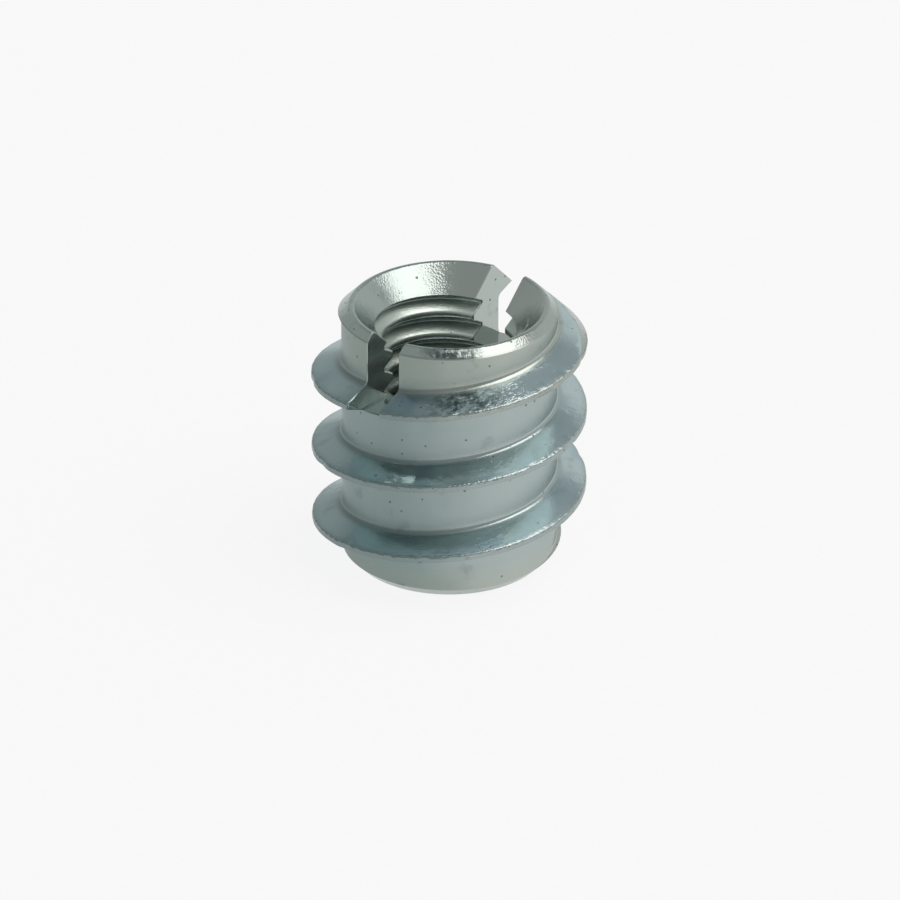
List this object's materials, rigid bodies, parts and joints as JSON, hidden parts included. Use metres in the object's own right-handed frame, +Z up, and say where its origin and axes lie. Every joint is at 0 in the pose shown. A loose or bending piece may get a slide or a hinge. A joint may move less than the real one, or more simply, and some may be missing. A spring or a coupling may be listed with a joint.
{
  "type": "threaded insert",
  "caption": "Slotted steel insert for wood: coarse wood thread outside, tapped hole right through, countersunk upper end with a driver slot, bevelled ends.",
  "frame": {"origin": "centre of the lower end face", "axes": "+Z up along the thread axis to the slotted end, +X along the driver slot"},
  "size_m": [0.014, 0.014, 0.014],
  "materials": {
    "zinc_plated_steel": "zinc plated, blue passivated, bright satin"
  },
  "bodies": {
    "root": {"insert_body": "zinc_plated_steel"}
  },
  "joints": []
}
